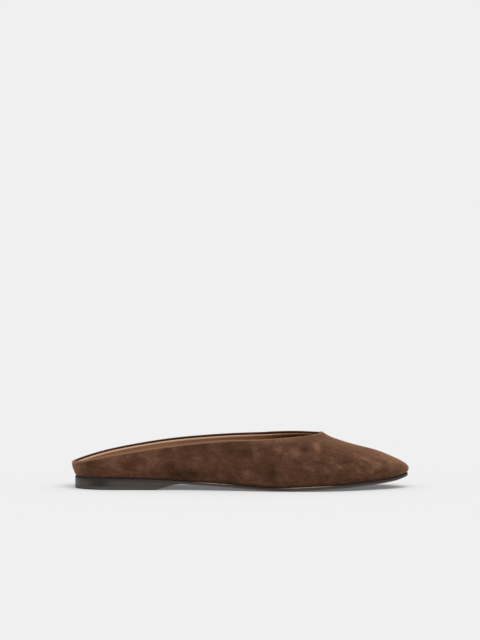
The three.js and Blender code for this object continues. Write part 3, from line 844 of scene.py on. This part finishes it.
# The sole's edge from top to bottom: mm out from the outline, share of the way down, where the ledge's corner
# carries a painted highlight, and how dark the ink lies, which is partly painted shade under the upper.
EDGE = {
    "out": (-1.6, 0.0, 0.20, 0.36, 0.48, 0.56, 0.60, 0.60, 0.58, 0.52, 0.38, 0.10),
    "down": (0.0, 0.0, 0.0, 0.03, 0.09, 0.18, 0.32, 0.50, 0.70, 0.84, 0.95, 1.00),
    "ledge": (0.0, 0.0, 1.0, 1.0, 1.0, 0.5, 0.0, 0.0, 0.0, 0.0, 0.0, 0.0),
    "ink": (1.0, 1.0, 1.0, 1.0, 1.0, 1.0, 0.8, 0.5, 0.2, 0.0, 0.0, 0.0),
}

# Lengths of the ledge whose corner carries a painted highlight: middle and half length along the shoe, in mm.
LEDGE_HIGHLIGHTS = ((110.0, 13.0), (181.0, 18.0))
roll = column(SOLE, "roll", BOTTOM_ROLL)


def sole_bottom(x, y):
    """Underside: level across at heel and waist, bulging at the ball by one minus the square of the way out,
    and cut flat where it meets the floor."""
    at = np.clip(x / LENGTH, 0, 1)
    across = np.minimum(1, np.abs(y) / (half_width(at, y, 0.0) + SOLE_LEDGE))
    return np.maximum(0, edge_bottom(at) - roll(at) * (1 - across ** 2))


def down_the_edge(share):
    return lambda x, y: sole_top(x / LENGTH) * (1 - share) + sole_bottom(x, y) * share


def on_edge(values):
    """A mark for each line of the sole: the given values down its edge, and 0 on its top and underside."""
    return np.concatenate([np.zeros(HIDDEN_BANDS), values, np.zeros(BANDS)])


# Over the heel the lower corner of the edge is square, so that sole and heel are flush.
at_heel = 1 / (1 + np.exp((foot[:, :1] - SQUARE_END) / SQUARE_SOFTNESS))
edge_rings = []
for offset, share in zip(EDGE["out"], EDGE["down"]):
    square = SOLE_LEDGE if share > SQUARE_FROM else offset
    edge_rings.append(ring_of(offset + at_heel * (square - offset), down_the_edge(share)))
top_bands = bands_to_axis(edge_rings[0], lambda x, y: sole_top(x / LENGTH), HIDDEN_BANDS)
bottom_bands = bands_to_axis(edge_rings[-1], sole_bottom, BANDS)
outsole_grid = np.concatenate([top_bands[:, ::-1], np.stack(edge_rings, axis=1), bottom_bands], axis=1)
rim = on_edge(np.ones(len(edge_rings)))
# Ink on the top of the edge, partly painted shade under the upper, and darker over the heel.
inky = on_edge(EDGE["ink"])
inky = inky + at_heel * rim * (1 - inky) * HEEL_INK
highlight_along = sum(np.exp(-((foot[:, 0] - middle) / length) ** 4) for middle, length in LEDGE_HIGHLIGHTS)
outsole = make_piece("outsole_leather", outsole_grid, False, {
    "rim": np.tile(rim, (len(foot), 1)),
    "ledge": highlight_along[:, None] * on_edge(EDGE["ledge"]),
    "inky": inky,
})
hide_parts("outsole")


# A dark smudge of dye on the sides near the back: mm behind the middle of the shoe, and its half length.
SMUDGE_BACK = 108.0
SMUDGE_HALF = 8.0
EDGE_GRAIN = 0.08 * MM


def burnished(name, dark, light, roughness):
    """Dyed and burnished leather edge: streaks along the sole, a smudge near the back, a low uneven gloss.
    Gives the material, its place in mm, its colour, its roughness and the height of its grain."""
    material, spot = finish(name, Specular_IOR_Level=0.45)
    streak = spot.stretched(0.08, 0.08, 1.6).noise(1.2, 3.0, 0.6)
    cloud = spot.noise(12.0, 2.0, 0.5)
    grain = spot.noise(0.5, 2.0, 0.6)
    shade = streak * 0.4 + cloud * 0.4 + grain * 0.2
    dye = shade.ramp((0.25, dark), (0.75, light))
    smudge = (spot.coordinate(0) + SMUDGE_BACK).bell(SMUDGE_HALF) * (0.4 + cloud)
    dye = (smudge * 1.1).clamped().blend(dye, srgb(18, 9, 5))
    return material, spot, dye, roughness + (grain - 0.5) * 0.2, streak * 0.5 + grain * 0.3


sole_paint, spot, dye, gloss, edge_height = burnished(
    "burnished_sole", srgb(51, 40, 32), srgb(82, 67, 56), 0.36)
FACE_ROUGHNESS = 0.55
face_dye = spot.noise(6.0, 4.0, 0.6).blend(srgb(58, 45, 36), srgb(82, 66, 54))
rim_mark = spot.mark("rim")
ink_and_shade_mark = spot.mark("inky")
# Ink on the top of the edge, deepened as painted shade under the upper.
dye = (ink_and_shade_mark * 0.95).blend(dye, srgb(20, 13, 9))
# A painted highlight along the ledge's corner.
ledge_highlight = (spot.noise(3.0, 2.0) + 0.2).clamped() * spot.mark("ledge")
dye = ledge_highlight.blend(dye, srgb(160, 144, 130))
dress(
    sole_paint, Base_Color=rim_mark.blend(face_dye, dye),
    Roughness=rim_mark * (gloss - FACE_ROUGHNESS) + ink_and_shade_mark * 0.35 + FACE_ROUGHNESS,
    Bump=(edge_height, EDGE_GRAIN))
outsole.data.materials.append(sole_paint)

# Heel. A low base of dyed leather under the seat, its front swept forward under the waist in a hollow curve,
# and a rubber top piece under it. Both are trimmed flush with the sole and glued.
LIFT_THICKNESS = 2.4
BREAST = 64.5
BREAST_SWEEP = 19.5
BREAST_TIP = 0.4
BREAST_HOLLOW = 1.4
HEEL_SEAM = 0.04
HEEL_STATIONS = 60
HEEL_BANDS = 8
FRONT_POINTS = 24
LENGTH_RUN = LENGTH - BACK_TUCK - TOE_TUCK

# Lines up the side of a slice: share of its height, and mm in from the side, which eases its corners.
SLICE = (
    (0.0, 0.06), (0.02, 0.015), (0.06, 0.0), (0.3, 0.0), (0.5, 0.0),
    (0.7, 0.0), (0.94, 0.0), (0.98, 0.015), (1.0, 0.06),
)


def heel_roof(x):
    return edge_bottom(x / LENGTH) - HEEL_SEAM


swept_height = heel_roof(BREAST + BREAST_SWEEP) - BREAST_TIP


def breast_at(height):
    """Front of the heel at a height: the sweep's curve turned round to give x."""
    share = 1 - (1 - np.clip(height / swept_height, 0, 1)) ** (1 / BREAST_HOLLOW)
    return BREAST + BREAST_SWEEP * share


def heel_line(front, inset, height):
    """A level line round the heel: along the sole's outline to the front, then straight across it.
    Its height is worked out from x."""
    side = np.linspace(0, 1, HEEL_STATIONS)
    at = (1 - np.cos(np.pi / 2 * side)) * (front - BACK_TUCK) / LENGTH_RUN
    x = BACK_TUCK + at * LENGTH_RUN
    lateral = np.stack([x, -half_width(at, -1.0, 0.0)], axis=1)
    medial = np.stack([x, half_width(at, 1.0, 0.0)], axis=1)
    across = np.linspace(lateral[-1], medial[-1], FRONT_POINTS)[1:-1]
    line = np.concatenate([lateral, across, medial[:0:-1]])
    step = np.roll(line, -1, 0) - np.roll(line, 1, 0)
    outward = np.stack([step[:, 1], -step[:, 0]], axis=1)
    outward /= np.linalg.norm(outward, axis=1)[:, None]
    line = line + outward * (SOLE_LEDGE - inset)
    line[:, 0] = np.minimum(line[:, 0], front - inset)
    return np.column_stack([line, np.broadcast_to(height(line[:, 0]), len(line))])


def zipped(line, height):
    """Lines from a level line in to the heel's axis, where both sides meet."""
    share = np.arange(1, HEEL_BANDS + 1) / HEEL_BANDS
    x = np.repeat(line[:, None, 0], HEEL_BANDS, axis=1)
    y = line[:, None, 1] * (1 - share)[None]
    return np.stack([x, y, np.broadcast_to(height(x), x.shape)], axis=2)


def heel_piece(name, bottom, top, node):
    """A slice of the heel between two heights, each worked out from x, with its corners eased."""
    lines = []
    for share, inset in SLICE:
        level = bottom(BREAST) * (1 - share) + min(top(BREAST), swept_height) * share
        lines.append(heel_line(
            breast_at(level), inset, lambda x, share=share: bottom(x) * (1 - share) + top(x) * share))
    grid = np.concatenate(
        [zipped(lines[0], bottom)[:, ::-1], np.stack(lines, axis=1), zipped(lines[-1], top)], axis=1)
    piece = make_piece(name, grid, False)
    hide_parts(node)
    return piece


def level_at(height):
    return lambda x: height + 0.0 * x


base = heel_piece(
    "heel_base_leather", level_at(LIFT_THICKNESS + 2 * HEEL_SEAM), heel_roof, "heel_base")
base_paint, spot, dye, gloss, edge_height = burnished(
    "burnished_heel", srgb(47, 36, 29), srgb(75, 61, 51), 0.45)
dress(base_paint, Base_Color=dye, Roughness=gloss, Bump=(edge_height, EDGE_GRAIN))
base.data.materials.append(base_paint)

lift = heel_piece(
    "heel_lift_rubber", level_at(0.0), level_at(LIFT_THICKNESS + HEEL_SEAM), "heel_lift")
rubber, spot = finish("lift_rubber", Specular_IOR_Level=0.4)
speckle = spot.noise(0.6, 2.0, 0.7)
smear = spot.noise(9.0, 3.0, 0.6)
dress(
    rubber, Base_Color=(smear * 0.7 + speckle * 0.3).blend(srgb(52, 46, 43), srgb(78, 73, 69)),
    Roughness=0.5 + speckle * 0.2, Bump=(speckle, 0.05 * MM))
lift.data.materials.append(rubber)
